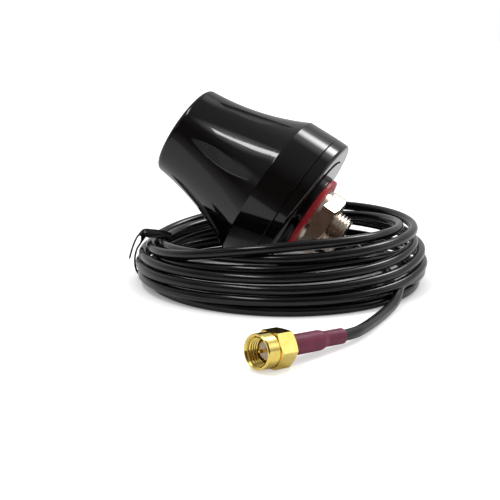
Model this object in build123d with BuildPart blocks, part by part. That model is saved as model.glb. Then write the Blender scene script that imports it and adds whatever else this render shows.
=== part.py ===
from build123d import *

import os
from math import cos, pi, radians, sin, tan

# Panel antenna with a bell-shaped radome, a hollow threaded stud, a coil of thin coaxial cable
# and a screw-on coaxial plug. It lies as it rests: the rim of the base on the floor, the
# antenna's axis in the XZ plane, the radome up towards -X. Millimetres throughout.

# Clearances
fit_gap = 0.05          # radial gap between pieces that are pressed or laid together
running_gap = 0.05      # radial gap of a piece that turns on another
loose_gap = 0.3         # radial gap round a piece that hangs loosely on the stud
axial_gap = 0.1         # end play of the coupling nut on its ring

# Radome
cap_radius = 13.85
cap_edge_radius = 1.5
waist_radius = 16.57
waist_height = 27.8
side_draft = 0.35
shoulder_height = 13.0
shoulder_edge_radius = 0.4
antenna_height = 43.5
radome_wall = 2.0

# Almond recesses round the flare
recess_count = 6
recess_angle = 101.2
recess_foot_margin = 2.3
recess_head_margin = 5.8
recess_width = 4.1
recess_depth = 0.6

# Base cover
base_radius = 22.85
seam_height = 3.8
seam_bevel = 0.2
rim_edge_radius = 1.0
floor_thickness = 3.0
land_radius = 17.4
land_rise = 0.3
boss_radius = 12.6
boss_rise = 1.3
groove_width = 0.45
groove_depth = 0.5
spigot_wall = 2.2
spigot_top = 9.0
seal_section = 1.4
seal_height = 6.4

# Threaded stud, with the gasket, washer and nut on it
stud_radius = 6.0
stud_reach = 13.0
stud_chamfer = 0.6
flange_flats = 16.0
flange_thickness = 1.6
flange_seat = 1.6
gasket_radius = 12.4
gasket_thickness = 1.6
gasket_edge_radius = 0.4
washer_radius = 9.5
washer_thickness = 1.2
nut_flats = 17.0
nut_thickness = 4.3
nut_corner_angle = 14.0
nut_face_radius = 8.0
nut_chamfer_angle = 30.0
nut_mouth_chamfer = 0.5
bush_radius = 4.0
bush_length = 2.0

# Circuit board and feed
plate_thickness = 0.8
plate_gap = 0.4
board_side_gap = 1.85
board_top_gap = 4.5
board_thickness = 1.0
board_offset = 1.5
copper_thickness = 0.1
copper_margin = 1.2
feed_height = 9.0
feed_width = 3.0
flare_rise = 5.0
slot_count = 4
slot_width = 1.0
slot_share = 0.5
feed_joint_radius = 0.9
foot_joint_size = 0.9
foot_joint_length = 3.0
foot_joint_spacing = 13.0

# Coaxial cable
cable_radius = 1.35
core_radius = 0.8
conductor_radius = 0.25
jacket_end = 5.8
core_end = 8.0
conductor_end = 10.0

# Coaxial plug, measured back from the mouth of its coupling nut
plug_flats = 8.0
collar_length = 3.3
collar_groove_width = 0.35
collar_groove_depth = 0.3
coupling_length = 8.9
coupling_front_radius = 4.2
coupling_rear_radius = 3.7
thread_radius = 3.18
thread_end = 5.6
mouth_chamfer = 0.35
shell_front = 3.0
shell_radius = 2.3
shell_bore = 2.05
plug_flange_radius = 2.85
plug_flange_front = 4.6
plug_flange_back = 5.4
plug_gasket_thickness = 0.6
neck_end = 9.3
ring_radius = 3.0
ring_thickness = 0.5
ring_front = 6.6
ring_seat_radius = 1.9
ring_mouth_angle = 40.0
collar_edge = 0.25
stem_radius = 1.5
stem_end = 14.0
pin_radius = 0.46
pin_tip = 0.9
pin_tip_radius = 0.2
pin_taper = 0.8
pin_end = 8.0
pot_depth = 2.0
ferrule_wall = 0.3
ferrule_end = 17.0
sleeve_start = 9.4
sleeve_step = 20.0
sleeve_taper = 2.0
sleeve_end = 28.0
sleeve_wall = 0.45

# Where things lie, with angles in degrees
lying_tilt = 32.3
base_x = 15.13
plug_position = (25.97, -91.22)
plug_heading = 60.9
plug_tilt = 4.5
coil_centre = (9.1, -6.6)
coil_path_radius = 37.8
coil_foot = 0.1         # depth by which the lowest turns flatten on the floor
tie_angle = 196.0
tie_width = 2.8
tie_thickness = 0.5
tie_gap = 0.2
tie_outer_tail = [(1.0, 6.1), (2.7, 7.4), (4.4, 6.1), (5.7, 3.0), (7.0, -0.9)]
tie_inner_tail = [(1.0, 6.1), (-2.0, 6.3), (-4.8, 4.6), (-7.8, 1.8)]

# Outer section of the coil at four places round it: angle, middle radius, width and height
coil_sections = [
    (tie_angle, 36.6, 9.0, 11.6),
    (106.0, 38.2, 9.6, 16.0),
    (16.0, 37.8, 9.2, 17.6),
    (-74.0, 37.6, 9.2, 18.2),
]

# Route of the cable, after the points that the stud and the plug give
exit_straight = 5.5
exit_route = [(36.9, -3.0, 6.4), (41.4, -8.8, 4.6), (43.0, -16.0, 3.7), (42.0, -24.0, 3.2)]
lead_straight = 4.6
lead_route = [
    (43.0, -57.0, 1.85),
    (44.3, -48.0, 1.5),
    (45.5, -38.5, 1.4),
    (46.3, -29.5, 1.7),
    (45.6, -21.5, 3.6),
]
bend_share = 0.45

os.makedirs("parts", exist_ok=True)

# Planes of the antenna. In its own frame z = 0 is the mounting face, z rises to the top of the
# radome and x points down towards the floor.
tilt = radians(lying_tilt)
base_z = (base_radius - rim_edge_radius) * cos(tilt) + rim_edge_radius * (1 - sin(tilt))
antenna = Plane(
    origin=(base_x, 0, base_z),
    x_dir=(-sin(tilt), 0, -cos(tilt)),
    z_dir=(-cos(tilt), 0, sin(tilt)),
)
antenna_section = Plane(origin=antenna.origin, x_dir=antenna.x_dir, z_dir=(0, 1, 0))
antenna_axis = Axis(antenna.origin, antenna.z_dir)

# Planes of the plug. z runs back from the mouth of the coupling nut along the plug.
plug_slope = radians(plug_tilt)
heading = radians(plug_heading)
chamfer_slope = tan(radians(nut_chamfer_angle))
rear_cone_length = (plug_flats / 2 - coupling_rear_radius) * chamfer_slope
plug_z = plug_flats / 2 * cos(plug_slope) + (coupling_length - rear_cone_length) * sin(plug_slope)
plug_back = (cos(heading) * cos(plug_slope), sin(heading) * cos(plug_slope), -sin(plug_slope))
plug = Plane(
    origin=(*plug_position, plug_z), x_dir=(sin(heading), -cos(heading), 0), z_dir=plug_back
)
plug_section = Plane(origin=plug.origin, x_dir=plug.x_dir, z_dir=-plug.y_dir)
plug_axis = Axis(plug.origin, plug.z_dir)

# Radome: a revolved shell with an open foot, and almond recesses sunk into its flare
shoulder_radius = base_radius - side_draft
inner_radius = base_radius - radome_wall
recess_low = shoulder_height + recess_foot_margin
recess_high = antenna_height - recess_head_margin


def flare(inset):
    """Concave flare from the shoulder to the cap, drawn further in by the inset."""
    ThreePointArc(
        (shoulder_radius - inset, shoulder_height),
        (waist_radius - inset, waist_height),
        (cap_radius - inset, antenna_height),
    )


with BuildPart() as recess_blanks:
    for number in range(recess_count):
        turn = Rotation(0, 0, recess_angle + number * 360 / recess_count)
        with BuildSketch(Plane(antenna.location * turn * Rotation(0, 90, 0)).offset(cap_radius / 2)):
            with BuildLine():
                middle = -(recess_low + recess_high) / 2
                ThreePointArc((-recess_high, 0), (middle, recess_width / 2), (-recess_low, 0))
                ThreePointArc((-recess_high, 0), (middle, -recess_width / 2), (-recess_low, 0))
            make_face()
        extrude(amount=base_radius)

with BuildPart() as recesses:
    with BuildSketch(antenna_section):
        with BuildLine():
            flare(recess_depth)
            Line((cap_radius - recess_depth, antenna_height), (base_radius, antenna_height))
            Line((base_radius, antenna_height), (base_radius, shoulder_height))
            Line((base_radius, shoulder_height), (shoulder_radius - recess_depth, shoulder_height))
        make_face()
    revolve(axis=antenna_axis)
    add(recess_blanks.part, mode=Mode.INTERSECT)

with BuildPart() as radome:
    with BuildSketch(antenna_section) as outline:
        with BuildLine():
            flare(0)
            Polyline(
                (cap_radius, antenna_height),
                (0, antenna_height),
                (0, seam_height),
                (base_radius - seam_bevel, seam_height),
                (base_radius, seam_height + seam_bevel),
                (shoulder_radius, shoulder_height),
            )
        make_face()
        fillet(outline.vertices().group_by(Axis.Y)[-1].sort_by(Axis.X)[-1], cap_edge_radius)
        shoulder = outline.vertices().sort_by_distance((shoulder_radius, shoulder_height, 0))[0]
        fillet(shoulder, shoulder_edge_radius)
    revolve(axis=antenna_axis)
    with BuildSketch(antenna_section):
        with BuildLine():
            ThreePointArc(
                (inner_radius, shoulder_height),
                (waist_radius - radome_wall, waist_height),
                (cap_radius - radome_wall, antenna_height - radome_wall),
            )
            Polyline(
                (cap_radius - radome_wall, antenna_height - radome_wall),
                (0, antenna_height - radome_wall),
                (0, seam_height),
                (inner_radius, seam_height),
                (inner_radius, shoulder_height),
            )
        make_face()
    revolve(axis=antenna_axis, mode=Mode.SUBTRACT)
    add(recesses.part, mode=Mode.SUBTRACT)
radome.part.label = "radome"

# Base cover: a floor with a rim, a ring groove, a land and a boss below, a spigot inside the
# radome with a seal groove, and a hexagonal seat for the flange of the stud
spigot_radius = inner_radius - fit_gap
seal_radius = inner_radius - fit_gap - seal_section / 2
with BuildPart() as base_cover:
    with BuildSketch(antenna_section) as outline:
        with BuildLine():
            Polyline(
                (stud_radius + fit_gap, floor_thickness),
                (spigot_radius - spigot_wall, floor_thickness),
                (spigot_radius - spigot_wall, spigot_top),
                (spigot_radius, spigot_top),
                (spigot_radius, seam_height),
                (base_radius - seam_bevel, seam_height),
                (base_radius, seam_height - seam_bevel),
                (base_radius, 0),
                (land_radius + groove_width, 0),
                (land_radius + groove_width, groove_depth),
                (land_radius, groove_depth),
                (land_radius, -land_rise),
                (boss_radius, -land_rise),
                (boss_radius, -boss_rise),
                (stud_radius + fit_gap, -boss_rise),
                close=True,
            )
        make_face()
        rim_corner = outline.vertices().sort_by_distance((base_radius, 0, 0))[0]
        fillet(rim_corner, rim_edge_radius)
        with Locations((inner_radius, seal_height)):
            Rectangle(
                fit_gap * 3 + seal_section,
                seal_section + 2 * fit_gap,
                align=(Align.MAX, Align.CENTER),
                mode=Mode.SUBTRACT,
            )
    revolve(axis=antenna_axis)
    with BuildSketch(antenna.offset(flange_seat)):
        RegularPolygon(flange_flats / 2 + fit_gap, 6, major_radius=False)
    extrude(amount=floor_thickness - flange_seat, mode=Mode.SUBTRACT)
base_cover.part.label = "base_cover"

# Ring seal between radome and cover
with BuildPart() as cover_seal:
    with BuildSketch(antenna_section):
        with Locations((seal_radius, seal_height)):
            Circle(seal_section / 2)
    revolve(axis=antenna_axis)
cover_seal.part.label = "cover_seal"

# Threaded stud: hexagonal flange in the cover, hollow shank, counterbore for the bush
flange_top = flange_seat + flange_thickness
cable_bore = cable_radius + fit_gap
with BuildPart() as threaded_stud:
    with BuildSketch(antenna_section) as outline:
        with BuildLine():
            Polyline(
                (cable_bore, flange_seat),
                (stud_radius, flange_seat),
                (stud_radius, -stud_reach + stud_chamfer),
                (stud_radius - stud_chamfer, -stud_reach),
                (bush_radius + fit_gap, -stud_reach),
                (bush_radius + fit_gap, bush_length - stud_reach),
                (cable_bore, bush_length - stud_reach),
                close=True,
            )
        make_face()
    revolve(axis=antenna_axis)
    with BuildSketch(antenna.offset(flange_seat)):
        RegularPolygon(flange_flats / 2, 6, major_radius=False)
        Circle(cable_bore, mode=Mode.SUBTRACT)
    extrude(amount=flange_thickness)
threaded_stud.part.label = "threaded_stud"

# Red sealing ring on the boss
gasket_face = -boss_rise - gasket_thickness
with BuildPart() as panel_gasket:
    with BuildSketch(antenna_section) as outline:
        with Locations((stud_radius + loose_gap, gasket_face)):
            Rectangle(
                gasket_radius - stud_radius - loose_gap,
                gasket_thickness,
                align=(Align.MIN, Align.MIN),
            )
        fillet(outline.vertices().group_by(Axis.X)[-1], gasket_edge_radius)
    revolve(axis=antenna_axis)
panel_gasket.part.label = "panel_gasket"

# Washer
washer_face = gasket_face - washer_thickness
with BuildPart() as washer:
    with BuildSketch(antenna.offset(washer_face)):
        Circle(washer_radius)
        Circle(stud_radius + loose_gap, mode=Mode.SUBTRACT)
    extrude(amount=washer_thickness)
washer.part.label = "washer"


def nut_envelope(section, axis, start, end, corner_radius, start_radius, end_radius):
    """Keep of the part only what lies within a bar with a cone turned on both ends."""
    with BuildSketch(section) as profile:
        with BuildLine():
            Polyline(
                (0, start),
                (start_radius, start),
                (corner_radius, start + (corner_radius - start_radius) * chamfer_slope),
                (corner_radius, end - (corner_radius - end_radius) * chamfer_slope),
                (end_radius, end),
                (0, end),
                close=True,
            )
        make_face()
    revolve(profile.sketch, axis=axis, mode=Mode.INTERSECT)


# Mounting nut: a thin hexagon, turned to a cone on both faces
nut_end = washer_face - nut_thickness
nut_corner_radius = nut_flats / 2 / cos(pi / 6)
nut_bore = stud_radius + running_gap
with BuildPart() as mounting_nut:
    with BuildSketch(antenna.offset(nut_end)):
        RegularPolygon(nut_flats / 2, 6, major_radius=False, rotation=nut_corner_angle)
    extrude(amount=nut_thickness)
    nut_envelope(
        antenna_section,
        antenna_axis,
        nut_end,
        washer_face,
        nut_corner_radius,
        nut_face_radius,
        nut_face_radius,
    )
    with BuildSketch(antenna_section):
        with BuildLine():
            Polyline(
                (0, nut_end),
                (nut_bore + nut_mouth_chamfer, nut_end),
                (nut_bore, nut_end + nut_mouth_chamfer),
                (nut_bore, washer_face - nut_mouth_chamfer),
                (nut_bore + nut_mouth_chamfer, washer_face),
                (0, washer_face),
                close=True,
            )
        make_face()
    revolve(axis=antenna_axis, mode=Mode.SUBTRACT)
mounting_nut.part.label = "mounting_nut"

# Rubber bush round the cable in the end of the stud
with BuildPart() as cable_bush:
    with BuildSketch(antenna.offset(-stud_reach)):
        Circle(bush_radius)
        Circle(cable_bore, mode=Mode.SUBTRACT)
    extrude(amount=bush_length)
cable_bush.part.label = "cable_bush"

# Ground plate on the flange of the stud
plate_top = flange_top + plate_thickness
with BuildPart() as ground_plate:
    with BuildSketch(antenna.offset(flange_top)):
        Circle(spigot_radius - spigot_wall - plate_gap)
        Circle(cable_bore, mode=Mode.SUBTRACT)
    extrude(amount=plate_thickness)
ground_plate.part.label = "ground_plate"

# Upright circuit board beside the cable. Its plane has x across the board and y up the antenna.
board_face = Plane(
    origin=antenna.origin + antenna.x_dir * board_offset, x_dir=antenna.y_dir, z_dir=antenna.x_dir
)
board_width = 2 * (cap_radius - radome_wall - board_side_gap)
board_height = antenna_height - radome_wall - board_top_gap - plate_top
with BuildPart() as antenna_board:
    with BuildSketch(board_face):
        with Locations((0, plate_top)):
            Rectangle(board_width, board_height, align=(Align.CENTER, Align.MIN))
    extrude(amount=board_thickness)
antenna_board.part.label = "antenna_board"

# Copper element: a feed strip that flares out, with slots from both sides in turn
copper_half = board_width / 2 - copper_margin
copper_top = plate_top + board_height - copper_margin
flare_start = feed_height + flare_rise
slot_length = slot_share * 2 * copper_half
with BuildPart() as board_radiator:
    with BuildSketch(board_face):
        with BuildLine():
            Polyline(
                (-feed_width / 2, feed_height - feed_width / 2),
                (feed_width / 2, feed_height - feed_width / 2),
                (feed_width / 2, feed_height + feed_width / 2),
                (copper_half, flare_start),
                (copper_half, copper_top),
                (-copper_half, copper_top),
                (-copper_half, flare_start),
                (-feed_width / 2, feed_height + feed_width / 2),
                close=True,
            )
        make_face()
        for number in range(slot_count):
            side = 1 if number % 2 else -1
            height = flare_start + (copper_top - flare_start) * (number + 1) / (slot_count + 1)
            with Locations((side * copper_half, height)):
                Rectangle(
                    slot_length,
                    slot_width,
                    align=(Align.MAX if side > 0 else Align.MIN, Align.CENTER),
                    mode=Mode.SUBTRACT,
                )
    extrude(amount=-copper_thickness)
board_radiator.part.label = "board_radiator"

# Solder: one joint from the conductor to the copper, two from the foot of the board to the plate
with BuildPart() as solder_joints:
    with BuildSketch(board_face.offset(-copper_thickness)):
        with Locations((0, feed_height)):
            Circle(feed_joint_radius)
    extrude(amount=conductor_radius + copper_thickness + fit_gap - board_offset, taper=15)
    for side in (-1, 1):
        joint_start = side * foot_joint_spacing / 2 - foot_joint_length / 2
        foot = Plane(
            origin=board_face.origin + board_face.x_dir * joint_start + antenna.z_dir * plate_top,
            x_dir=-antenna.x_dir,
            z_dir=board_face.x_dir,
        )
        with BuildSketch(foot):
            Triangle(a=foot_joint_size, b=foot_joint_size, C=90, align=Align.MIN)
        extrude(amount=foot_joint_length)
solder_joints.part.label = "solder_joints"

# Stripped end of the cable inside the stud and the housing
with BuildPart() as cable_tail:
    with BuildSketch(antenna_section):
        with BuildLine():
            Polyline(
                (0, -stud_reach),
                (cable_radius, -stud_reach),
                (cable_radius, jacket_end),
                (core_radius, jacket_end),
                (core_radius, core_end),
                (conductor_radius, core_end),
                (conductor_radius, conductor_end),
                (0, conductor_end),
                close=True,
            )
        make_face()
    revolve(axis=antenna_axis)
cable_tail.part.label = "cable_tail"

# Coil of cable: the outer shape of its turns, drawn in tightly at the tie and fanned out
# opposite, made of quarter turns between the four sections
tie_room = tie_thickness + tie_gap


def coil_section(angle, radius, width, height):
    """Upright section of the coil, with the width and height of its ellipse."""
    direction = Vector(cos(radians(angle)), sin(radians(angle)), 0)
    lift = tie_room if angle == tie_angle else -coil_foot
    centre = Vector(*coil_centre, lift + height / 2) + direction * radius
    return Plane(origin=centre, x_dir=direction, z_dir=Vector(direction.Y, -direction.X, 0))


with BuildPart() as cable_coil:
    for number, first in enumerate(coil_sections):
        second = coil_sections[(number + 1) % len(coil_sections)]
        with BuildLine() as quarter:
            CenterArc((*coil_centre, 0), coil_path_radius, first[0], -90)
        faces = []
        for angle, radius, width, height in (first, second):
            with BuildSketch(coil_section(angle, radius, width, height)) as section:
                Ellipse(width / 2, height / 2)
            faces.append(section.sketch.face())
        sweep(sections=faces, path=quarter.wire(), multisection=True)
    split(bisect_by=Plane.XY, keep=Keep.TOP)
cable_coil.part.label = "cable_coil"

# Twist tie: a flat ribbon round the coil, with two loose ends
tie_width_at_coil, tie_height_at_coil = coil_sections[0][2:]
with BuildPart() as twist_tie:
    with BuildSketch(coil_section(*coil_sections[0])):
        Ellipse(tie_width_at_coil / 2 + tie_room, tie_height_at_coil / 2 + tie_room)
        Ellipse(tie_width_at_coil / 2 + tie_gap, tie_height_at_coil / 2 + tie_gap, mode=Mode.SUBTRACT)
    extrude(amount=tie_width / 2, both=True)
    for tail in (tie_outer_tail, tie_inner_tail):
        with BuildSketch(coil_section(*coil_sections[0])):
            with BuildLine():
                Spline(*tail)
            trace(line_width=tie_thickness)
        extrude(amount=tie_width / 2, both=True)
twist_tie.part.label = "twist_tie"


def tube(points):
    """Cable along straight runs joined by tangent arcs; prints the radius of each arc."""
    bends = []
    for before, corner, after in zip(points, points[1:], points[2:]):
        incoming = Vector(*corner) - Vector(*before)
        outgoing = Vector(*after) - Vector(*corner)
        half_turn = radians(incoming.get_angle(outgoing)) / 2
        bends.append(bend_share * min(incoming.length, outgoing.length) / tan(half_turn))
    print("cord radii", [round(bend, 1) for bend in bends])
    with BuildLine() as route:
        FilletPolyline(*points, radius=bends)
    start = Plane(origin=points[0], z_dir=Vector(*points[1]) - Vector(*points[0]))
    with BuildSketch(start) as section:
        Circle(cable_radius)
    sweep(sections=section.sketch, path=route.wire())
    print("cord length", round(route.wire().length, 1))


# Cable from the stud to the inner side of the coil
stud_end = antenna.origin - antenna.z_dir * stud_reach
with BuildPart() as cable_exit:
    tube([stud_end, stud_end - antenna.z_dir * exit_straight, *exit_route])
    add(cable_coil.part, mode=Mode.SUBTRACT)
cable_exit.part.label = "cable_exit"

# Cable from the outer side of the coil to the plug
sleeve_mouth = plug.origin + plug.z_dir * sleeve_end
with BuildPart() as cable_lead:
    tube([sleeve_mouth, sleeve_mouth + plug.z_dir * lead_straight, *lead_route])
    add(cable_coil.part, mode=Mode.SUBTRACT)
cable_lead.part.label = "cable_lead"

# Plug body: front shell, flange, neck with a ring groove, and the stem that the cable is
# crimped on
core_bore = core_radius + fit_gap
with BuildPart() as plug_body:
    with BuildSketch(plug_section):
        with BuildLine():
            Polyline(
                (shell_bore, shell_front),
                (shell_radius, shell_front),
                (shell_radius, plug_flange_front),
                (plug_flange_radius, plug_flange_front),
                (plug_flange_radius, plug_flange_back),
                (shell_radius, plug_flange_back),
                (shell_radius, ring_front - fit_gap),
                (ring_seat_radius, ring_front - fit_gap),
                (ring_seat_radius, ring_front + ring_thickness + fit_gap),
                (shell_radius, ring_front + ring_thickness + fit_gap),
                (shell_radius, neck_end),
                (stem_radius, neck_end),
                (stem_radius, stem_end),
                (core_bore, stem_end),
                (core_bore, plug_flange_back),
                (shell_bore, plug_flange_back),
                close=True,
            )
        make_face()
    revolve(axis=plug_axis)
plug_body.part.label = "plug_body"

# Snap ring between the body and the coupling nut
with BuildPart() as plug_retaining_ring:
    with BuildSketch(plug.offset(ring_front)):
        Circle(ring_radius)
        Circle(ring_seat_radius + fit_gap, mode=Mode.SUBTRACT)
        with BuildLine():
            mouth_half = ring_radius * tan(radians(ring_mouth_angle / 2))
            Polyline((0, 0), (-ring_radius, mouth_half), (-ring_radius, -mouth_half), close=True)
        make_face(mode=Mode.SUBTRACT)
    extrude(amount=ring_thickness)
plug_retaining_ring.part.label = "plug_retaining_ring"

# Coupling nut: a round collar, a dark groove, a hexagon, and the stepped bore
hexagon_start = collar_length + collar_groove_width
collar_radius = plug_flats / 2
coupling_corner_radius = plug_flats / 2 / cos(pi / 6)
with BuildPart() as plug_coupling_nut:
    with BuildSketch(plug.offset(hexagon_start)):
        RegularPolygon(plug_flats / 2, 6, major_radius=False)
    extrude(amount=coupling_length - hexagon_start)
    nut_envelope(
        plug_section,
        plug_axis,
        hexagon_start,
        coupling_length,
        coupling_corner_radius,
        coupling_front_radius,
        coupling_rear_radius,
    )
    with BuildSketch(plug_section):
        with BuildLine():
            Polyline(
                (0, 0),
                (collar_radius - collar_edge, 0),
                (collar_radius, collar_edge),
                (collar_radius, collar_length),
                (collar_radius - collar_groove_depth, collar_length),
                (collar_radius - collar_groove_depth, hexagon_start),
                (0, hexagon_start),
                close=True,
            )
        make_face()
    revolve(axis=plug_axis)
    with BuildSketch(plug_section):
        with BuildLine():
            Polyline(
                (0, 0),
                (thread_radius + mouth_chamfer, 0),
                (thread_radius, mouth_chamfer),
                (thread_radius, thread_end),
                (shell_radius + running_gap, thread_end),
                (shell_radius + running_gap, ring_front - axial_gap),
                (ring_radius + running_gap, ring_front - axial_gap),
                (ring_radius + running_gap, ring_front + ring_thickness + axial_gap),
                (shell_radius + running_gap, ring_front + ring_thickness + axial_gap),
                (shell_radius + running_gap, coupling_length),
                (0, coupling_length),
                close=True,
            )
        make_face()
    revolve(axis=plug_axis, mode=Mode.SUBTRACT)
plug_coupling_nut.part.label = "plug_coupling_nut"

# Small seal ring on the flange of the body
with BuildPart() as plug_gasket:
    with BuildSketch(plug.offset(plug_flange_front - plug_gasket_thickness)):
        Circle(plug_flange_radius)
        Circle(shell_radius + fit_gap, mode=Mode.SUBTRACT)
    extrude(amount=plug_gasket_thickness)
plug_gasket.part.label = "plug_gasket"

# Insulator: a disc in the shell and a thin liner behind it, round the pin
with BuildPart() as plug_dielectric:
    with BuildSketch(plug_section):
        with BuildLine():
            Polyline(
                (pin_radius + fit_gap, shell_front),
                (shell_bore - fit_gap, shell_front),
                (shell_bore - fit_gap, plug_flange_back),
                (core_radius, plug_flange_back),
                (core_radius, pin_end),
                (pin_radius + fit_gap, pin_end),
                close=True,
            )
        make_face()
    revolve(axis=plug_axis)
plug_dielectric.part.label = "plug_dielectric"

# Centre pin with a tapered tip and a pot for the conductor
pot_radius = conductor_radius + fit_gap
with BuildPart() as plug_pin:
    with BuildSketch(plug_section):
        with BuildLine():
            Polyline(
                (0, pin_tip),
                (pin_tip_radius, pin_tip),
                (pin_radius, pin_tip + pin_taper),
                (pin_radius, pin_end),
                (pot_radius, pin_end),
                (pot_radius, pin_end - pot_depth),
                (0, pin_end - pot_depth),
                close=True,
            )
        make_face()
    revolve(axis=plug_axis)
plug_pin.part.label = "plug_pin"

# Ferrule crimped over the stem and the end of the jacket
ferrule_bore = stem_radius + fit_gap
ferrule_radius = ferrule_bore + ferrule_wall
with BuildPart() as crimp_ferrule:
    with BuildSketch(plug.offset(neck_end)):
        Circle(ferrule_radius)
        Circle(ferrule_bore, mode=Mode.SUBTRACT)
    extrude(amount=ferrule_end - neck_end)
crimp_ferrule.part.label = "crimp_ferrule"

# Cable end in the plug, stripped in steps
with BuildPart() as cable_plug_end:
    with BuildSketch(plug_section):
        with BuildLine():
            Polyline(
                (0, sleeve_end),
                (cable_radius, sleeve_end),
                (cable_radius, stem_end),
                (core_radius, stem_end),
                (core_radius, pin_end),
                (conductor_radius, pin_end),
                (conductor_radius, pin_end - pot_depth + fit_gap),
                (0, pin_end - pot_depth + fit_gap),
                close=True,
            )
        make_face()
    revolve(axis=plug_axis)
cable_plug_end.part.label = "cable_plug_end"

# Heat-shrink sleeve over the ferrule, drawn down on the cable behind it
sleeve_front_bore = ferrule_radius + fit_gap
sleeve_back_bore = cable_radius + fit_gap
with BuildPart() as heat_shrink_sleeve:
    with BuildSketch(plug_section) as outline:
        with BuildLine():
            Polyline(
                (sleeve_front_bore, sleeve_start),
                (sleeve_front_bore + sleeve_wall, sleeve_start),
                (sleeve_front_bore + sleeve_wall, sleeve_step),
                (sleeve_back_bore + sleeve_wall, sleeve_step + sleeve_taper),
                (sleeve_back_bore + sleeve_wall, sleeve_end),
                (sleeve_back_bore, sleeve_end),
                (sleeve_back_bore, ferrule_end + sleeve_taper),
                (sleeve_front_bore, ferrule_end),
                close=True,
            )
        make_face()
    revolve(axis=plug_axis)
heat_shrink_sleeve.part.label = "heat_shrink_sleeve"

for piece in (
    radome,
    base_cover,
    cover_seal,
    threaded_stud,
    panel_gasket,
    washer,
    mounting_nut,
    cable_bush,
    ground_plate,
    antenna_board,
    board_radiator,
    solder_joints,
    cable_tail,
    cable_exit,
    cable_coil,
    twist_tie,
    cable_lead,
    cable_plug_end,
    heat_shrink_sleeve,
    crimp_ferrule,
    plug_body,
    plug_retaining_ring,
    plug_gasket,
    plug_coupling_nut,
    plug_dielectric,
    plug_pin,
):
    export_step(piece.part, f"parts/{piece.part.label}.step")
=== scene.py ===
from math import cos, pi, radians, sin, tan

import bmesh
import bpy
from mathutils import Matrix, Vector


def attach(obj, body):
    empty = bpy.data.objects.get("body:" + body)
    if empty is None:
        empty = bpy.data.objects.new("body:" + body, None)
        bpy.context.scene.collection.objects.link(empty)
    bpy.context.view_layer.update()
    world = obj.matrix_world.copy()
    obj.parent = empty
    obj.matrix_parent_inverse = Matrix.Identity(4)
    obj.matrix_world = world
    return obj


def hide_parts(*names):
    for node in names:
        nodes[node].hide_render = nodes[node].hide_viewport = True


# Panel antenna with a coiled cable and a coaxial plug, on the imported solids. The shared frame is
# in metres; shapes are written in millimetres, as in part.py, and scaled by mm.
mm = 0.001

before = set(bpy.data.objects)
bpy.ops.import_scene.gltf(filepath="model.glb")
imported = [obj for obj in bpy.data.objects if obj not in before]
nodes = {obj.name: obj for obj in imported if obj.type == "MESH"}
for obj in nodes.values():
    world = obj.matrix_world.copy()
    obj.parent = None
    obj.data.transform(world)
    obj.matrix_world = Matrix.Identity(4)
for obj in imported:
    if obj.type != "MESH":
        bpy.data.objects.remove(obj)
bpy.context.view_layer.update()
scene = bpy.context.scene

# Camera at the photograph's viewing angle
camera_data = bpy.data.cameras.new("camera")
camera_data.lens = 79.07
camera_data.sensor_width = 36
camera_data.clip_start = 0.01
camera = bpy.data.objects.new("camera", camera_data)
camera.location = (0.08654, -0.30707, 0.07418)
camera.rotation_euler = (radians(78.09), 0, radians(16.0))
scene.collection.objects.link(camera)
scene.camera = camera


def frame_of(origin, x_dir, z_dir):
    """Matrix from local millimetres to the shared frame in metres."""
    x_axis = Vector(x_dir).normalized()
    z_axis = Vector(z_dir).normalized()
    turned_frame = Matrix((x_axis, z_axis.cross(x_axis), z_axis)).transposed().to_4x4()
    return Matrix.Translation(Vector(origin) * mm) @ turned_frame @ Matrix.Scale(mm, 4)


# Local frames, as in part.py. The antenna's z is 0 on the mounting face and rises to the top of
# the radome; the plug's z runs back from the mouth of its coupling nut.
tilt = radians(32.3)
heading = radians(60.9)
slope = radians(4.5)
antenna = frame_of(
    (15.130, 0, 18.935), (-sin(tilt), 0, -cos(tilt)), (-cos(tilt), 0, sin(tilt))
)
plug = frame_of(
    (25.97, -91.22, 4.672),
    (sin(heading), -cos(heading), 0),
    (cos(heading) * cos(slope), sin(heading) * cos(slope), -sin(slope)),
)

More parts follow.
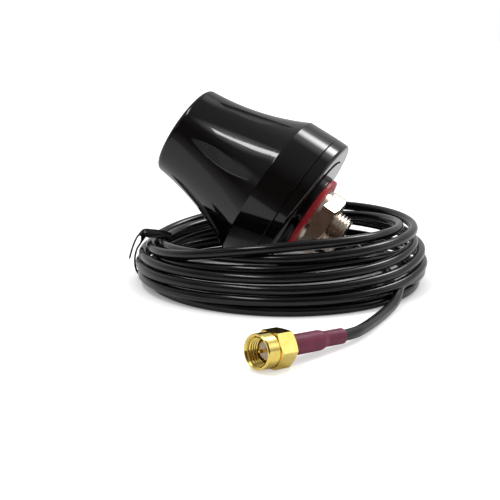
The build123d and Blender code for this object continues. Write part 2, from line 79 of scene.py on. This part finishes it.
# Cable. It leaves the stud, makes the turns of the coil clockwise from the right front, and
# goes to the plug. Each turn has 16 stations, as radius and height of the cable's centre.
cable_radius = 1.35
coil_centre = (9.1, -6.6)
first_station = -27.5
station_step = 22.5
stud_tip = (26.119, 0, 11.988)
exit_route = [
    (30.768, 0, 9.049),
    (36.9, -3.0, 6.4),
    (41.4, -8.8, 4.6),
    (43.0, -16.0, 3.7),
]
coil_turns = [
    [(37.2, 3.2), (37.7, 5.1), (37.6, 5.9), (37.2, 5.7), (36.8, 5.3), (36.6, 4.9), (36.6, 4.9),
     (36.6, 5.1), (36.6, 5.2), (36.6, 5.2), (36.5, 5.3), (36.4, 5.5), (36.3, 6.2), (36.3, 7.2),
     (36.0, 8.7), (35.8, 10.4)],
    [(35.6, 11.8), (35.2, 12.0), (35.8, 11.0), (35.8, 10.6), (35.3, 9.8), (34.8, 8.9),
     (34.4, 8.3), (34.2, 8.2), (33.8, 8.9), (33.5, 10.0), (33.4, 11.6), (33.5, 13.3),
     (33.8, 14.7), (33.9, 15.7), (34.1, 16.5), (34.1, 17.0)],
    [(34.2, 17.4), (34.3, 17.4), (34.6, 16.9), (35.2, 15.2), (35.9, 12.8), (36.5, 11.1),
     (36.9, 10.6), (37.0, 11.2), (37.0, 12.6), (37.1, 14.2), (37.2, 15.6), (37.4, 16.4),
     (37.6, 16.7), (37.9, 16.7), (38.1, 16.4), (38.1, 16.0)],
    [(37.6, 15.4), (36.7, 14.5), (35.2, 13.6), (33.5, 13.1), (32.6, 12.7), (32.8, 11.9),
     (33.3, 11.2), (33.3, 11.3), (33.5, 12.0), (34.4, 12.8), (35.8, 13.2), (37.0, 13.2),
     (37.7, 13.1), (38.0, 13.0), (38.2, 12.7), (38.4, 12.2)],
    [(39.0, 10.9), (39.2, 9.9), (39.0, 9.4), (38.7, 9.1), (38.5, 8.8), (38.7, 8.6), (39.0, 8.7),
     (39.0, 9.2), (39.0, 9.9), (39.1, 10.7), (39.4, 11.4), (39.7, 11.7), (40.0, 11.5),
     (40.2, 11.1), (40.4, 10.5), (40.4, 9.6)],
    [(40.6, 8.0), (40.6, 7.1), (40.3, 6.6), (39.9, 6.6), (39.7, 6.3), (39.8, 6.0), (39.9, 6.0),
     (39.9, 6.4), (39.8, 6.8), (39.8, 7.2), (39.9, 7.4), (40.1, 7.5), (40.3, 7.3), (40.6, 7.2),
     (40.9, 7.0), (41.3, 6.8)],
    [(41.5, 5.1), (41.4, 4.3), (41.2, 4.1), (40.7, 3.9), (40.0, 3.4), (39.5, 3.2), (39.3, 3.2),
     (39.2, 3.4), (39.2, 3.7), (39.2, 4.0), (39.1, 4.2), (38.9, 3.9), (38.5, 3.3), (38.5, 2.5),
     (38.8, 1.8), (39.3, 1.5)],
    [(39.9, 1.4), (40.8, 1.4), (40.9, 1.4), (39.7, 1.4), (38.1, 1.4), (37.2, 1.7), (36.8, 2.0),
     (36.9, 1.8), (37.4, 1.5), (38.1, 1.4), (39.1, 1.4), (40.2, 1.4), (41.0, 1.9), (41.3, 2.9),
     (40.9, 3.8), (40.3, 4.2)],
]
lead_route = [
    (46.2, -21.2, 4.7),
    (46.8, -29.5, 2.2),
    (45.5, -38.5, 1.4),
    (44.3, -48.0, 1.5),
    (43.0, -57.0, 1.85),
    (41.776, -62.823, 2.114),
]
sleeve_mouth = (39.545, -66.830, 2.475)

# A smooth line along the control points of a turn runs inside them, at this share of the radius
draw_in = 0.75 + 0.25 * cos(radians(station_step))
route = [stud_tip, *exit_route]
stations = [station for coil_turn in coil_turns for station in coil_turn]
for number, (radius, height) in enumerate(stations):
    angle = radians(first_station - number * station_step)
    route.append(
        (
            coil_centre[0] + radius / draw_in * cos(angle),
            coil_centre[1] + radius / draw_in * sin(angle),
            height,
        )
    )
route += [*lead_route, sleeve_mouth]

cable_data = bpy.data.curves.new("cable", "CURVE")
cable_data.dimensions = "3D"
line = cable_data.splines.new("NURBS")
line.points.add(len(route) - 1)
for point, (x, y, z) in zip(line.points, route):
    point.co = (x * mm, y * mm, z * mm, 1)
    point.radius = cable_radius * mm
line.order_u = 3
line.use_endpoint_u = True
line.use_smooth = True
cable_data.resolution_u = 8
cable_data.bevel_depth = 1.0
cable_data.bevel_resolution = 6
cable_data.use_fill_caps = True
cable = bpy.data.objects.new("cable", cable_data)
scene.collection.objects.link(cable)
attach(cable, "root")
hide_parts("cable_exit", "cable_coil", "cable_lead")


def node(tree, kind, settings=(), links=()):
    """New shader node with its settings, and the outputs that feed its inputs."""
    made = tree.nodes.new(kind)
    for name, value in dict(settings).items():
        if name in made.inputs:
            made.inputs[name].default_value = value
        else:
            setattr(made, name, value)
    for name, output in dict(links).items():
        tree.links.new(output, made.inputs[name])
    return made


def noise(tree, scale, detail=3.0):
    """Noise in object coordinates; its scale is per metre."""
    coordinates = node(tree, "ShaderNodeTexCoord")
    made = node(
        tree,
        "ShaderNodeTexNoise",
        {"Scale": scale, "Detail": detail},
        {"Vector": coordinates.outputs["Object"]},
    )
    return made.outputs["Fac"]


def ramp(tree, source, low, high, start=0.35, end=0.65):
    """Colour that goes from low to high as the source goes from start to end."""
    made = node(tree, "ShaderNodeValToRGB", links={"Fac": source})
    made.color_ramp.elements[0].position = start
    made.color_ramp.elements[0].color = (*low, 1)
    made.color_ramp.elements[1].position = end
    made.color_ramp.elements[1].color = (*high, 1)
    return made.outputs["Color"]


def spread(tree, source, low, high, start=0.3, end=0.7):
    """Number that goes from low to high as the source goes from start to end."""
    settings = {"From Min": start, "From Max": end, "To Min": low, "To Max": high}
    return node(tree, "ShaderNodeMapRange", settings, {"Value": source}).outputs["Result"]


def combine(tree, operation, first, second):
    """Number from two others by a mathematical operation."""
    made = node(tree, "ShaderNodeMath", {"operation": operation}, {0: first, 1: second})
    return made.outputs[0]


def distance(tree, source, point):
    """Distance between the source's position and a fixed point."""
    made = node(tree, "ShaderNodeVectorMath", {"operation": "DISTANCE"}, {0: source})
    made.inputs[1].default_value = point
    return made.outputs["Value"]


def blend(tree, factor, first, second):
    """Colour that goes from first to second with the factor; each is a colour or an output."""
    made = node(tree, "ShaderNodeMix", {"data_type": "RGBA"}, {"Factor": factor})
    sockets = [socket for socket in made.inputs if socket.type == "RGBA"]
    for socket, value in zip(sockets, (first, second)):
        if isinstance(value, tuple):
            socket.default_value = (*value, 1)
        else:
            tree.links.new(value, socket)
    return next(socket for socket in made.outputs if socket.type == "RGBA")


def bump(tree, source, depth, under=None):
    """Surface relief of the given depth in millimetres."""
    links = {"Height": source}
    if under is not None:
        links["Normal"] = under
    made = node(tree, "ShaderNodeBump", {"Strength": 1.0, "Distance": depth * mm}, links)
    return made.outputs["Normal"]


def material(name, settings=()):
    """New node material; returns it with its tree and its shader."""
    made = bpy.data.materials.new(name)
    made.use_nodes = True
    shader = made.node_tree.nodes["Principled BSDF"]
    for socket, value in dict(settings).items():
        shader.inputs[socket].default_value = value
    return made, made.node_tree, shader


def moulded_plastic(name, low, high, roughness):
    """Glossy moulded plastic: faint flow waves, fine haze and a few dull spots."""
    made, tree, shader = material(name, {"IOR": 1.5})
    waves = noise(tree, scale=45, detail=2.0)
    haze = noise(tree, scale=900, detail=4.0)
    tree.links.new(ramp(tree, waves, low, high), shader.inputs["Base Color"])
    dulled = spread(tree, haze, low=roughness, high=roughness + 0.05)
    tree.links.new(dulled, shader.inputs["Roughness"])
    relief = bump(tree, noise(tree, scale=70, detail=1.0), depth=0.05)
    tree.links.new(bump(tree, haze, depth=0.0012, under=relief), shader.inputs["Normal"])
    return made


def rubber(name, low, high, roughness, grain):
    """Matt rubber or silicone with a fine mould grain."""
    made, tree, shader = material(name, {"IOR": 1.45})
    cloud = noise(tree, scale=260)
    tree.links.new(ramp(tree, cloud, low, high), shader.inputs["Base Color"])
    fine = noise(tree, scale=6000, detail=2.0)
    dulled = spread(tree, fine, low=roughness - 0.06, high=roughness + 0.08)
    tree.links.new(dulled, shader.inputs["Roughness"])
    tree.links.new(bump(tree, fine, grain), shader.inputs["Normal"])
    return made


def metal(name, low, high, roughness, relief):
    """Plated metal with clouded tarnish and fine polishing marks."""
    made, tree, shader = material(name, {"Metallic": 1.0})
    cloud = noise(tree, scale=420, detail=4.0)
    tree.links.new(ramp(tree, cloud, low, high), shader.inputs["Base Color"])
    marks = noise(tree, scale=2600)
    dulled = spread(tree, marks, low=roughness, high=roughness + 0.09)
    tree.links.new(dulled, shader.inputs["Roughness"])
    tree.links.new(bump(tree, marks, relief), shader.inputs["Normal"])
    return made


def jacket(name, low, high):
    """Satin cable jacket: clouded black with a fine grain and a faint waviness."""
    made, tree, shader = material(name, {"IOR": 1.48})
    cloud = noise(tree, scale=120)
    fine = noise(tree, scale=3200)
    tree.links.new(ramp(tree, cloud, low, high), shader.inputs["Base Color"])
    tree.links.new(spread(tree, fine, low=0.13, high=0.21), shader.inputs["Roughness"])
    relief = bump(tree, noise(tree, scale=300, detail=2.0), depth=0.02)
    tree.links.new(bump(tree, fine, depth=0.003, under=relief), shader.inputs["Normal"])
    return made


# Each finish has its darkest and palest colour, then its roughness and its relief
gloss = moulded_plastic("black_gloss", (0.0012, 0.0012, 0.0016), (0.0030, 0.0030, 0.0038), 0.05)
satin = rubber("black_satin", (0.014, 0.014, 0.015), (0.024, 0.024, 0.026), 0.42, 0.002)
soft_black = rubber("black_rubber", (0.012, 0.012, 0.012), (0.022, 0.022, 0.022), 0.55, 0.01)
red = rubber("red_silicone", (0.50, 0.014, 0.022), (0.66, 0.026, 0.036), 0.36, 0.006)
nickel = metal("nickel", (0.68, 0.58, 0.47), (0.82, 0.75, 0.66), 0.12, 0.0015)
tinned = metal("tinned_plate", (0.62, 0.62, 0.60), (0.78, 0.78, 0.77), 0.28, 0.004)
copper = metal("copper", (0.70, 0.34, 0.18), (0.88, 0.50, 0.32), 0.30, 0.003)
solder = metal("solder", (0.50, 0.50, 0.50), (0.74, 0.74, 0.75), 0.34, 0.02)
gold = metal("gold", (0.94, 0.69, 0.15), (1.0, 0.81, 0.26), 0.09, 0.0012)
cable_black = jacket("cable_black", (0.0018, 0.0018, 0.0022), (0.0045, 0.0045, 0.0050))
tie_black = jacket("tie_black", (0.006, 0.006, 0.006), (0.012, 0.012, 0.012))
maroon = rubber("maroon_sleeve", (0.160, 0.013, 0.046), (0.215, 0.023, 0.070), 0.46, 0.008)
ptfe = rubber("ptfe", (0.74, 0.66, 0.55), (0.84, 0.78, 0.68), 0.45, 0.003)
board_green = moulded_plastic("board_green", (0.015, 0.10, 0.035), (0.03, 0.16, 0.06), 0.28)

# Finishes of the solids
finishes = {
    "radome": gloss,
    "base_cover": gloss,
    "cover_seal": soft_black,
    "panel_gasket": red,
    "washer": nickel,
    "mounting_nut": nickel,
    "threaded_stud": nickel,
    "cable_bush": soft_black,
    "ground_plate": tinned,
    "antenna_board": board_green,
    "board_radiator": copper,
    "solder_joints": solder,
    "cable_tail": cable_black,
    "cable_exit": cable_black,
    "cable_coil": cable_black,
    "cable_lead": cable_black,
    "cable_plug_end": cable_black,
    "twist_tie": tie_black,
    "heat_shrink_sleeve": maroon,
    "crimp_ferrule": nickel,
    "plug_body": gold,
    "plug_retaining_ring": copper,
    "plug_gasket": red,
    "plug_coupling_nut": gold,
    "plug_dielectric": ptfe,
    "plug_pin": gold,
}
for name, finish in finishes.items():
    for slot in nodes[name].material_slots:
        slot.material = finish
cable_data.materials.append(cable_black)


def new_piece(name, mesh, body, finish):
    """Mesh object that rides on a body and takes its material slot and its finish."""
    made = bpy.data.objects.new(name, mesh)
    scene.collection.objects.link(made)
    mesh.materials.append(finish)
    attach(made, body)
    return made


def close_mesh(name, shape, local_frame, sharp=35):
    """Mesh of the shape, merged, turned outward, smooth but for its sharp edges, and moved from
    its local frame. An edge is sharp above the given angle in degrees."""
    bmesh.ops.remove_doubles(shape, verts=shape.verts, dist=1e-4)
    bmesh.ops.dissolve_degenerate(shape, edges=shape.edges, dist=1e-5)
    bmesh.ops.recalc_face_normals(shape, faces=shape.faces)
    mesh = bpy.data.meshes.new(name)
    for face in shape.faces:
        face.smooth = True
    for edge in shape.edges:
        if len(edge.link_faces) == 2 and edge.calc_face_angle() > radians(sharp):
            edge.smooth = False
    shape.to_mesh(mesh)
    shape.free()
    mesh.transform(local_frame)
    return mesh


def skin(shape, rows, closed=True):
    """Adds the faces between rows of vertices; each row is a closed ring or an open line."""
    for first, second in zip(rows, rows[1:]):
        for index in range(len(first) if closed else len(first) - 1):
            after = (index + 1) % len(first)
            shape.faces.new((first[index], first[after], second[after], second[index]))


def around_z(shape, radius, angle, height):
    """New vertex at a radius, angle and height."""
    return shape.verts.new((radius * cos(angle), radius * sin(angle), height))


def turned(shape, profile, steps=64):
    """Adds a surface turned round z from an open profile of radius and height."""
    rings = []
    for radius, height in profile:
        angles = [2 * pi * step / steps for step in range(steps)]
        rings.append([around_z(shape, radius, angle, height) for angle in angles])
    skin(shape, rings)


def helix(shape, pitch, start, end, section, limit, steps=48):
    """Adds a threaded surface. The section is radius against share of the pitch, from 0 to 1,
    and limit gives each point's radius from its height and its own radius."""
    turn_count = (end - start) / pitch + 2
    rows = []
    for step in range(int(turn_count * steps) + 1):
        angle = 2 * pi * step / steps
        row = []
        for share, radius in section:
            height = start + pitch * (step / steps + share - 1)
            height = min(max(height, start), end)
            row.append(around_z(shape, limit(height, radius), angle, height))
        rows.append(row)
    skin(shape, rows, closed=False)


# Threaded stud: the thread of M12 by 1 on the shank, the open end and the hidden flange
stud_end = -13.0
stud_end_radius = 5.4
stud_pitch = 1.0
stud_root = 5.39
stud_shoulder = 5.93
stud_crest = 6.0
bush_seat_radius = 4.05
bush_seat = -11
cable_hole = 1.4
flange_low = 1.6
flange_high = 3.2
flange_corner = 9.24
stud_section = [
    (0, stud_root), (0.06, stud_root), (0.25, stud_shoulder), (0.32, stud_crest),
    (0.68, stud_crest), (0.75, stud_shoulder), (0.94, stud_root), (1, stud_root),
]
stud = bmesh.new()
helix(
    stud,
    stud_pitch,
    stud_end,
    flange_low,
    stud_section,
    lambda height, radius: min(radius, stud_end_radius + height - stud_end),
)
turned(
    stud,
    [
        (stud_root, stud_end),
        (bush_seat_radius, stud_end),
        (bush_seat_radius, bush_seat),
        (cable_hole, bush_seat),
        (cable_hole, flange_high),
    ],
)
turned(
    stud,
    [
        (stud_root, flange_low),
        (flange_corner, flange_low),
        (flange_corner, flange_high),
        (cable_hole, flange_high),
    ],
    steps=6,
)
stud_piece = new_piece(
    "threaded_stud_cut", close_mesh("stud", stud, antenna), "root", nickel
)
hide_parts("threaded_stud")

# Recess floors: the floor of each almond recess is satin, lies just over the solid's floor and
# curves up to the flare at its long edges
flare_points = ((22.5, 13.0), (16.57, 27.8), (13.85, 43.5))
recess_count = 6
first_recess = 101.2
recess_low = 15.3
recess_high = 37.7
recess_width = 4.1
recess_depth = 0.6
satin_lift = 0.04
satin_share = 0.985
satin_depth = recess_depth - satin_lift
curl_width = 0.45
curl_rim_depth = 0.06
curl_height = satin_depth - curl_rim_depth
long_steps = 40
cross_steps = 24


def arc_through(points):
    """Centre and radius of the circle through three points."""
    (ax, ay), (bx, by), (cx, cy) = points
    double = 2 * (ax * (by - cy) + bx * (cy - ay) + cx * (ay - by))
    a, b, c = ax * ax + ay * ay, bx * bx + by * by, cx * cx + cy * cy
    x = (a * (by - cy) + b * (cy - ay) + c * (ay - by)) / double
    y = (a * (cx - bx) + b * (ax - cx) + c * (bx - ax)) / double
    return x, y, ((ax - x) ** 2 + (ay - y) ** 2) ** 0.5


flare_x, flare_z, flare_radius = arc_through(flare_points)
half_length = (recess_high - recess_low) / 2
almond_radius = (half_length**2 + (recess_width / 2) ** 2) / recess_width
floors = bmesh.new()
for number in range(recess_count):
    spin = Matrix.Rotation(radians(first_recess + 360 / recess_count * number), 4, "Z")
    rows = []
    for long_step in range(long_steps + 1):
        along = half_length * satin_share * (2 * long_step / long_steps - 1)
        height = recess_low + half_length + along
        half_width = (almond_radius**2 - along**2) ** 0.5 - almond_radius + recess_width / 2
        satin_half = half_width * satin_share
        outer = flare_x - (flare_radius**2 - (height - flare_z) ** 2) ** 0.5
        row = []
        for cross_step in range(cross_steps + 1):
            across = (2 * cross_step / cross_steps - 1) * satin_half
            into_curl = max(0, abs(across) - (satin_half - curl_width)) / curl_width
            curl = curl_height * (1 - (1 - min(into_curl, 1) ** 2) ** 0.5)
            reach = outer - satin_depth + curl
            spot = Vector(((reach**2 - across**2) ** 0.5, across, height))
            row.append(floors.verts.new(spin @ spot))
        rows.append(row)
    skin(floors, rows, closed=False)
floors_mesh = close_mesh("recess_floors", floors, antenna)
new_piece("recess_floors", floors_mesh, "root", satin)

# Mounting nut: flat on the washer, its corners chamfered on the free side, with a plain bore
nut_flats = 17.0
nut_low = -8.4
nut_high = -4.1
nut_corner_angle = 14.0
nut_corner_cut = 0.06
nut_edge_cut = 0.08
nut_face_radius = 8.7
nut_chamfer = radians(30)
nut_least_rise = 0.05
nut_bore = 6.05
nut_mouth = 0.45
nut_steps = 96
nut_step_angle = 360 / nut_steps
nut_corner_radius = nut_flats / 2 / cos(pi / 6) - nut_corner_cut
nut = bmesh.new()
nut_rings = [[], [], [], [], [], []]
for step in range(nut_steps):
    angle = radians(nut_corner_angle + step * nut_step_angle)
    from_flat = (step * nut_step_angle) % 60 - 30
    edge = min(nut_flats / 2 / cos(radians(from_flat)), nut_corner_radius)
    face = min(edge - nut_edge_cut, nut_face_radius)
    rise = max(edge - nut_face_radius, nut_least_rise) * tan(nut_chamfer)
    profile = [
        (nut_bore, nut_high),
        (edge - nut_edge_cut, nut_high),
        (edge, nut_high - nut_edge_cut),
        (edge, nut_low + rise),
        (face, nut_low),
        (nut_bore + nut_mouth, nut_low),
    ]
    for ring, (radius, height) in zip(nut_rings, profile):
        ring.append(around_z(nut, radius, angle, height))
skin(nut, nut_rings)
turned(
    nut,
    [(nut_bore, nut_high), (nut_bore, nut_low + nut_mouth), (nut_bore + nut_mouth, nut_low)],
    nut_steps,
)
nut_mesh = close_mesh("nut", nut, antenna, sharp=20)
nut_piece = new_piece("mounting_nut_cut", nut_mesh, "nut", nickel)
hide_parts("mounting_nut")

# Thread inside the plug's coupling nut, on the wall of its bore
bore_start = 0.5
bore_end = 3.85
bore_pitch = 0.7056
bore_wall = 3.175
bore_crest = 2.86
bore_shoulder = 2.87
bore_run_out = 0.9
bore_section = [
    (0, bore_wall), (0.18, bore_wall), (0.44, bore_shoulder), (0.5, bore_crest),
    (0.56, bore_shoulder), (0.82, bore_wall), (1, bore_wall),
]
bore = bmesh.new()
helix(
    bore,
    bore_pitch,
    bore_start,
    bore_end,
    bore_section,
    lambda height, radius: max(
        radius, bore_wall - bore_run_out * min(height - bore_start, bore_end - height)
    ),
)
new_piece("plug_thread", close_mesh("plug_thread", bore, plug), "coupling", gold)

# Twist tie: one flat ribbon round the bundle, ridged over its wire, with two loose ends. Its
# line is the distance from the coil's centre and the height.
tie_angle = radians(196)
tie_out = Vector((cos(tie_angle), sin(tie_angle), 0))
tie_along = Vector((-sin(tie_angle), cos(tie_angle), 0))
tie_line = [
    (43.2, 6.4), (42.5, 9.0), (41.5, 11.6), (40.4, 13.4), (39.2, 13.9), (38.9, 12.8),
    (39.6, 11.2), (41.1, 9.2), (41.8, 6.2), (41.5, 2.8), (39.9, 1.2), (37.4, 0.35),
    (35.3, 0.7), (34.1, 4.3), (32.7, 7.8), (31.3, 10.6), (31.9, 12.8), (33.8, 13.0),
    (36.4, 12.7), (38.2, 12.7), (39.2, 13.4), (38.6, 13.9), (37.0, 13.7), (35.0, 13.5),
    (33.0, 13.2), (31.2, 12.5),
]
ribbon_section = [
    (-1.4, 0.0), (-1.3, 0.10), (-0.55, 0.12), (-0.28, 0.24), (0, 0.28), (0.28, 0.24),
    (0.55, 0.12), (1.3, 0.10), (1.4, 0.0), (1.3, -0.10), (0.55, -0.12), (0.28, -0.24),
    (0, -0.28), (-0.28, -0.24), (-0.55, -0.12), (-1.3, -0.10),
]
loop_twist = radians(35)
loop_share = 0.17
loop_reach = 0.08
tail_twist = radians(52)
tail_share = 0.76
tail_reach = 0.06
guide_data = bpy.data.curves.new("tie_guide", "CURVE")
guide_data.dimensions = "3D"
guide = guide_data.splines.new("NURBS")
guide.points.add(len(tie_line) - 1)
for point, (radius, height) in zip(guide.points, tie_line):
    point.co = (radius, height, 0, 1)
guide.order_u = 3
guide.use_endpoint_u = True
guide_data.resolution_u = 6
guide_object = bpy.data.objects.new("tie_guide", guide_data)
guide_mesh = bpy.data.meshes.new_from_object(guide_object)
tie_points = [vertex.co.copy() for vertex in guide_mesh.vertices]
bpy.data.objects.remove(guide_object)
ribbon = bmesh.new()
rows = []
last = len(tie_points) - 1
for index, middle in enumerate(tie_points):
    way = (tie_points[min(index + 1, last)] - tie_points[max(index - 1, 0)]).normalized()
    off_line = Vector((-way.y, way.x, 0))
    share = index / last
    twist = loop_twist * max(0, 1 - abs(share - loop_share) / loop_reach)
    twist += tail_twist * min(max((share - tail_share) / tail_reach, 0), 1)
    row = []
    for width, lift in ribbon_section:
        spot = middle + off_line * (lift * cos(twist) + width * sin(twist))
        centre = Vector((*coil_centre, spot.y)) + tie_out * spot.x
        aside = width * cos(twist) - lift * sin(twist)
        row.append(ribbon.verts.new(centre + tie_along * aside))
    rows.append(row)
skin(ribbon, rows)
ribbon.faces.new(rows[0])
ribbon.faces.new(reversed(rows[-1]))
tie_mesh = close_mesh("tie", ribbon, Matrix.Scale(mm, 4), sharp=50)
tie_piece = new_piece("tie_ribbon", tie_mesh, "root", tie_black)
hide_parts("twist_tie")

# Floor: pale, lit by the lamps. Round the coil and far away it has light of its own for the
# camera, so that it meets the white background; within the coil's radius it has none, which is
# painted shade on the floor inside and under the coil.
floor_half = 3
near_glow = 0.48
near_start, near_end = 0.034, 0.044
far_glow = 0.4
far_start, far_end = 0.1, 0.8
floor_mesh = bpy.data.meshes.new("floor")
floor_mesh.from_pydata(
    [
        (-floor_half, -floor_half, 0),
        (floor_half, -floor_half, 0),
        (floor_half, floor_half, 0),
        (-floor_half, floor_half, 0),
    ],
    [],
    [(0, 1, 2, 3)],
)
floor_object = bpy.data.objects.new("floor", floor_mesh)
scene.collection.objects.link(floor_object)
floor_finish, floor_tree, floor_shader = material(
    "floor",
    {
        "Roughness": 0.9,
        "Base Color": (0.90, 0.90, 0.90, 1),
        "Specular IOR Level": 0.0,
        "Emission Color": (1, 1, 1, 1),
    },
)
floor_ray = node(floor_tree, "ShaderNodeLightPath")
floor_spot = node(floor_tree, "ShaderNodeTexCoord")
from_coil = distance(
    floor_tree, floor_spot.outputs["Object"], (coil_centre[0] * mm, coil_centre[1] * mm, 0)
)
# Painted shade: the glow is nil inside the coil's radius and rises to full just outside it, so the
# floor within the coil stays dark
near = spread(floor_tree, from_coil, 0, near_glow, near_start, near_end)
far = spread(floor_tree, from_coil, 0, far_glow, far_start, far_end)
glow = combine(
    floor_tree,
    "MULTIPLY",
    floor_ray.outputs["Is Camera Ray"],
    combine(floor_tree, "ADD", near, far),
)
floor_tree.links.new(glow, floor_shader.inputs["Emission Strength"])
floor_mesh.materials.append(floor_finish)

# World: white to the camera; where the object mirrors it, dark and warm in front, pale behind,
# grey overhead and hazy low on the left; an even grey light elsewhere
white = (1, 1, 1)
even_grey = (0.5, 0.5, 0.5)
front_colour = (0.070, 0.046, 0.037)
back_colour = (0.55, 0.55, 0.56)
overhead_colour = (0.30, 0.30, 0.31)
haze_level = 0.45
world = bpy.data.worlds.new("world")
scene.world = world
world.use_nodes = True
tree = world.node_tree
background = tree.nodes["Background"]
world_ray = node(tree, "ShaderNodeLightPath")
direction = node(tree, "ShaderNodeTexCoord")
parts = node(tree, "ShaderNodeSeparateXYZ", links={"Vector": direction.outputs["Generated"]})
behind = spread(tree, parts.outputs["Y"], 0, 1, start=-0.7, end=0.7)
around = ramp(tree, behind, front_colour, back_colour, start=0.05, end=0.85)
overhead = spread(tree, parts.outputs["Z"], 0, 1, start=0.6, end=0.95)
low_down = spread(tree, parts.outputs["Z"], 1, 0, start=-0.02, end=0.26)
on_left = spread(tree, parts.outputs["X"], haze_level, 0, start=-0.8, end=0)
sky = node(
    tree,
    "ShaderNodeVectorMath",
    {"operation": "ADD"},
    {
        0: blend(tree, overhead, around, overhead_colour),
        1: combine(tree, "MULTIPLY", low_down, on_left),
    },
)
mirrored = combine(
    tree,
    "MAXIMUM",
    world_ray.outputs["Is Glossy Ray"],
    world_ray.outputs["Is Transmission Ray"],
)
seen = blend(tree, mirrored, even_grey, sky.outputs["Vector"])
shown = blend(tree, world_ray.outputs["Is Camera Ray"], seen, white)
tree.links.new(shown, background.inputs["Color"])


def softbox(name, place, along, width, height, strength, soft=True):
    """Area lamp that faces the object, its width along a direction; strength is its radiance.
    A soft lamp fades from its middle to its rim."""
    data = bpy.data.lights.new(name, "AREA")
    data.shape = "RECTANGLE"
    data.size = width
    data.size_y = height
    data.energy = strength * pi * width * height
    if soft:
        data.use_nodes = True
        lamp = data.node_tree
        across = node(lamp, "ShaderNodeNewGeometry")
        from_middle = distance(lamp, across.outputs["Parametric"], (0.5, 0.5, 0))
        fade = spread(lamp, from_middle, low=1.9, high=0, start=0.1, end=0.5)
        lamp.links.new(fade, lamp.nodes["Emission"].inputs["Strength"])
    made = bpy.data.objects.new(name, data)
    back = Vector(place).normalized()
    side = (Vector(along) - back * Vector(along).dot(back)).normalized()
    made.matrix_world = Matrix.Translation(place) @ Matrix(
        (side, back.cross(side), back)
    ).transposed().to_4x4()
    scene.collection.objects.link(made)


# Each lamp has its place and the direction of its width, then its width, height and strength
softbox("strip", (-0.292, -0.305, 0.99), (-0.33, 0.66, 0), 0.60, 0.085, 13, soft=False)
softbox("glow", (-0.275, -0.36, 1.05), (-0.33, 0.66, 0), 0.95, 0.42, 1.2)
softbox("back", (0.37, 0.54, 0.76), (0.52, -0.36, 0), 0.34, 0.40, 7)
softbox("halo", (0.37, 0.50, 0.80), (0.52, -0.36, 0), 0.80, 0.80, 0.9)
softbox("right", (0.86, 0.30, 0.40), (-0.30, 0.86, 0), 0.60, 0.60, 0.42)
softbox("window", (-0.59, -0.59, 0.55), (-0.59, 0.59, 0), 0.40, 0.34, 0.35)

view = scene.view_settings
view.view_transform = "Standard"

bpy.context.view_layer.update()
